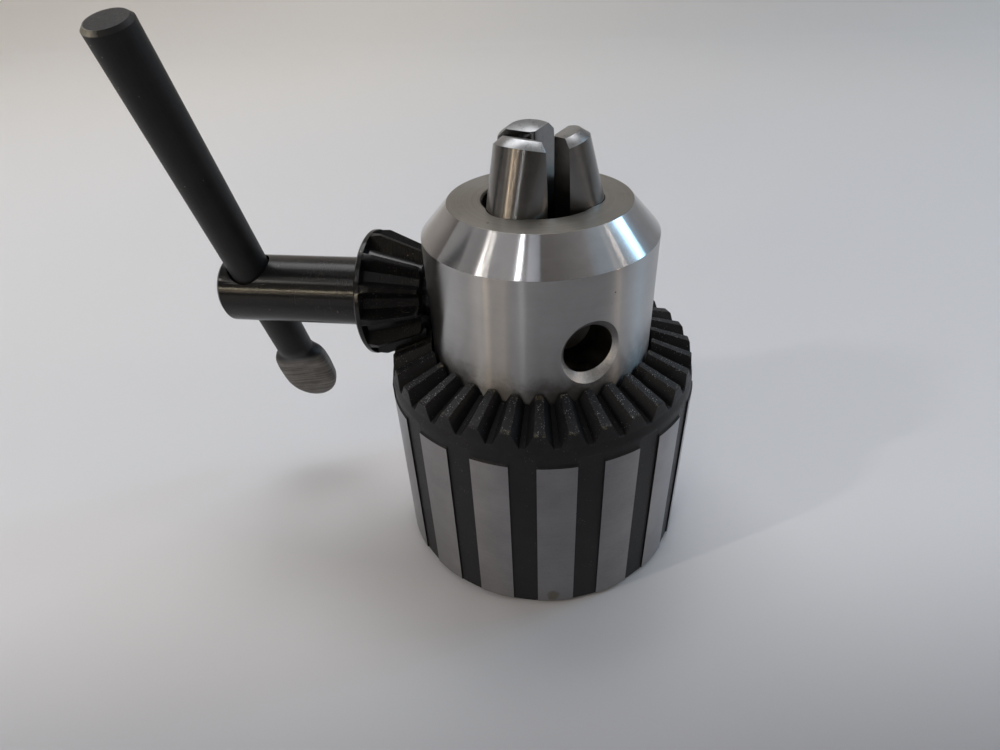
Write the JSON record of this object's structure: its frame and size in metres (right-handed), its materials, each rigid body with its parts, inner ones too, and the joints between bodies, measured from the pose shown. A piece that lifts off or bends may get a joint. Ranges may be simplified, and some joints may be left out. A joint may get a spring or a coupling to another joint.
{
  "type": "drill chuck",
  "caption": "Keyed drill chuck standing on its rear face, with ground nose, inclined gripping jaws, geared sleeve and a T-handle bevel key in one key hole.",
  "frame": {"origin": "on the chuck axis at the rear face of the body, the mouth of the spindle socket", "axes": "+Z along the chuck axis towards the jaws, -X towards the key in its hole"},
  "size_m": [0.0818, 0.0528, 0.0914],
  "materials": {
    "ground_steel": "turned and ground bright steel with fine circular lines",
    "jaw_steel": "hardened ground steel, darker grey",
    "black_oxide": "black oxide with ground bright lands",
    "key_black": "oily glossy black oxide",
    "bar_black": "semi-matt black oxide, worn at the paddle",
    "nut_steel": "machined steel, oiled",
    "hardened_steel": "hardened and ground"
  },
  "bodies": {
    "body": {"chuck_body": "ground_steel", "thrust_washer": "hardened_steel"},
    "sleeve": {"geared_sleeve": "black_oxide", "nut_half_a": "nut_steel", "nut_half_b": "nut_steel"},
    "jaw_a": {"jaw_1": "jaw_steel"},
    "jaw_b": {"jaw_2": "jaw_steel"},
    "jaw_c": {"jaw_3": "jaw_steel"},
    "key": {"chuck_key": "key_black"},
    "bar": {"key_cross_bar": "bar_black"}
  },
  "joints": [
    {"name": "sleeve_spin", "type": "hinge", "parent": "body", "child": "sleeve", "pos_m": [0, 0, 0], "axis": [0, 0, 1], "range_deg": [-880, 3110]},
    {"name": "jaw_1_slide", "type": "slide", "parent": "body", "child": "jaw_a", "axis": [-0.2588, 0, 0.9659], "range_m": [-0.01729, 0.0049]},
    {"name": "jaw_2_slide", "type": "slide", "parent": "body", "child": "jaw_b", "axis": [0.1294, -0.2241, 0.9659], "range_m": [-0.01729, 0.0049]},
    {"name": "jaw_3_slide", "type": "slide", "parent": "body", "child": "jaw_c", "axis": [0.1294, 0.2241, 0.9659], "range_m": [-0.01729, 0.0049]},
    {"name": "key_spin", "type": "hinge", "parent": "body", "child": "key", "pos_m": [-0.0501, 0, 0.0467], "axis": [1, 0, 0], "range_deg": [-8295, 2348]},
    {"name": "bar_slide", "type": "slide", "parent": "key", "child": "bar", "axis": [0, -0.3272, 0.9449], "range_m": [-0.0365, 0.0095]}
  ],
  "couplings": [
    {"joint": "jaw_1_slide", "follows": "sleeve_spin", "m_per_rad": -0.00031831},
    {"joint": "jaw_2_slide", "follows": "sleeve_spin", "m_per_rad": -0.00031831},
    {"joint": "jaw_3_slide", "follows": "sleeve_spin", "m_per_rad": -0.00031831},
    {"joint": "key_spin", "follows": "sleeve_spin", "ratio": -2.6667}
  ]
}
